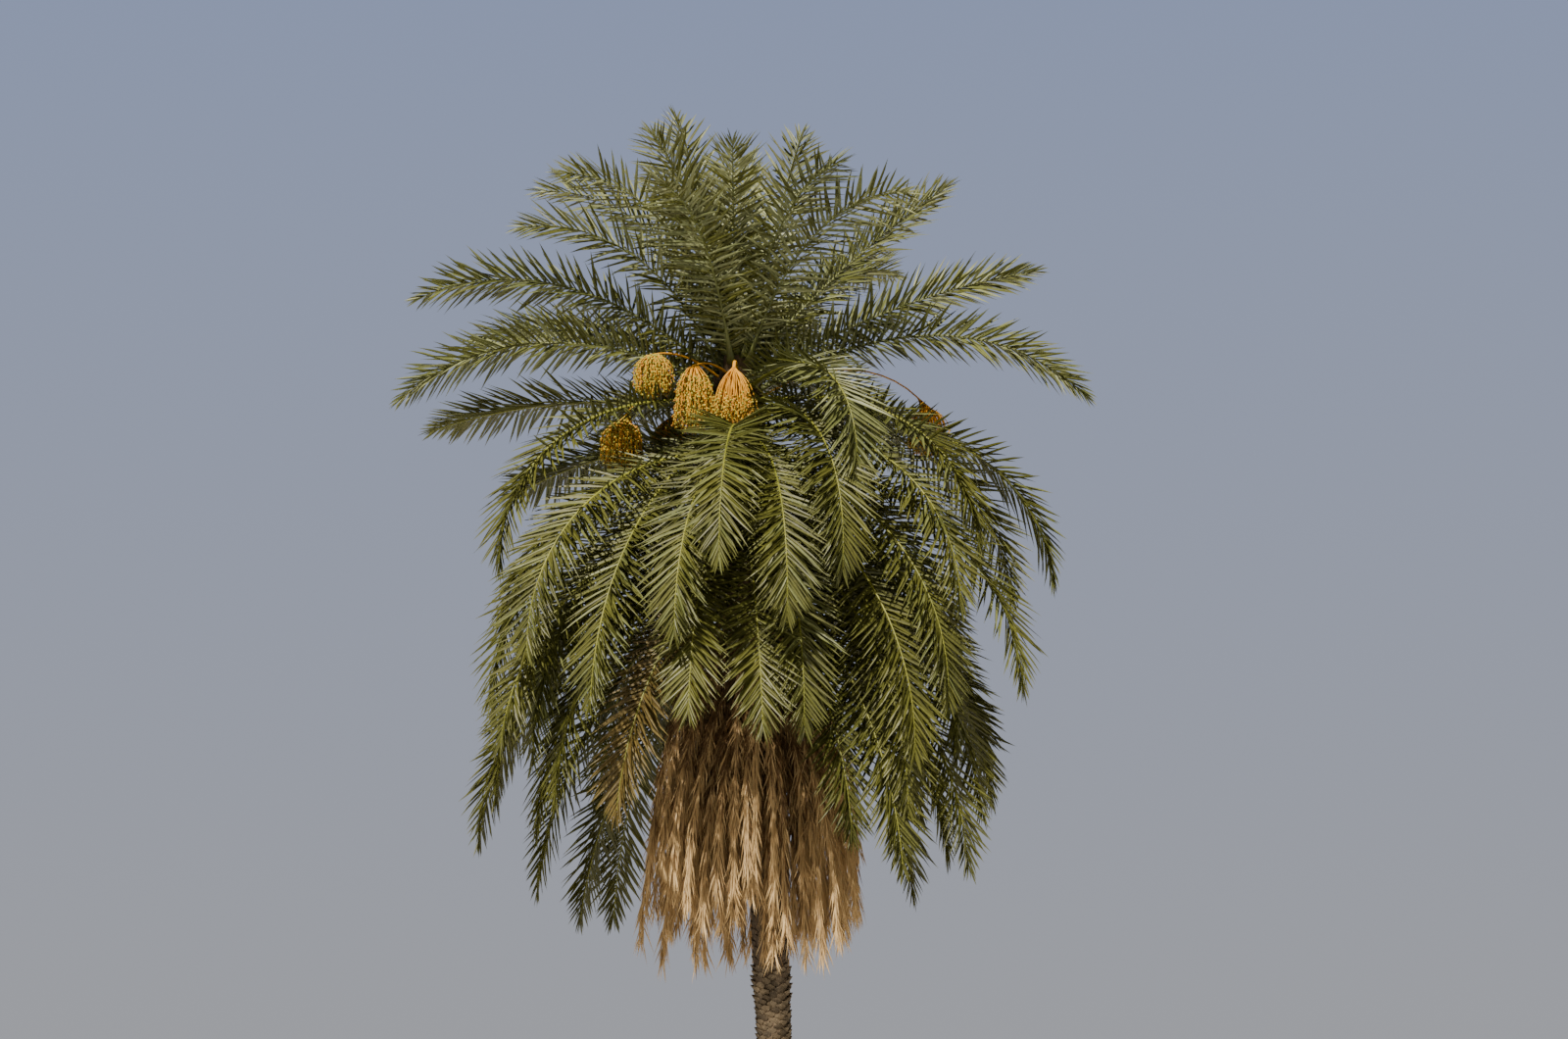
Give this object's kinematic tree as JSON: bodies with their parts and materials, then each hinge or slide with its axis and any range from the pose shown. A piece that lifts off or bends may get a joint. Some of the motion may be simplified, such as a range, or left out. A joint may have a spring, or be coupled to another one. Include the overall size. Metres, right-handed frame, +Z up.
{
  "type": "silver date palm",
  "caption": "Tall leaning date palm rooted in level ground: slim scaly trunk, round crown of arching silvery green fronds, orange date bunches and a hanging skirt of dead fronds.",
  "frame": {"origin": "middle of the trunk's flat cut at ground level", "axes": "+Z up along the trunk's foot, +X to the viewer's right, +Y away from the viewer of the picture"},
  "size_m": [7.1697, 6.2221, 13.4985],
  "materials": {
    "bark": "rough brown bark of old leaf bases",
    "green_frond": "silvery olive green leaflets with a slight sheen",
    "dead_frond": "dry matte straw",
    "dates": "smooth orange strands and small yellow-brown dates"
  },
  "bodies": {
    "root": {"date_bunch_1": "dates", "date_bunch_2": "dates", "date_bunch_3": "dates", "date_bunch_4": "dates", "date_bunch_5": "dates", "date_bunch_6": "dates", "date_bunch_7": "dates", "dead_fronds_1": "dead_frond", "dead_fronds_2": "dead_frond", "dead_fronds_3": "dead_frond", "dead_fronds_4": "dead_frond", "dead_fronds_5": "dead_frond", "dead_fronds_6": "dead_frond", "frond_01": "green_frond", "frond_02": "green_frond", "frond_03": "green_frond", "frond_04": "green_frond", "frond_05": "green_frond", "frond_06": "green_frond", "frond_07": "green_frond", "frond_08": "green_frond", "frond_09": "green_frond", "frond_10": "green_frond", "frond_11": "green_frond", "frond_12": "green_frond", "frond_13": "green_frond", "frond_14": "green_frond", "frond_15": "green_frond", "frond_16": "green_frond", "frond_17": "green_frond", "frond_18": "green_frond", "frond_19": "green_frond", "frond_20": "green_frond", "frond_21": "green_frond", "frond_22": "green_frond", "frond_23": "green_frond", "frond_24": "green_frond", "frond_25": "green_frond", "frond_26": "green_frond", "frond_27": "green_frond", "frond_28": "green_frond", "frond_29": "green_frond", "frond_30": "green_frond", "frond_31": "green_frond", "frond_32": "green_frond", "frond_33": "green_frond", "frond_group_1": "green_frond", "frond_group_10": "green_frond", "frond_group_11": "green_frond", "frond_group_12": "green_frond", "frond_group_13": "green_frond", "frond_group_2": "green_frond", "frond_group_3": "green_frond", "frond_group_4": "green_frond", "frond_group_5": "green_frond", "frond_group_6": "green_frond", "frond_group_7": "green_frond", "frond_group_8": "green_frond", "frond_group_9": "green_frond", "trunk": "bark"}
  },
  "joints": []
}
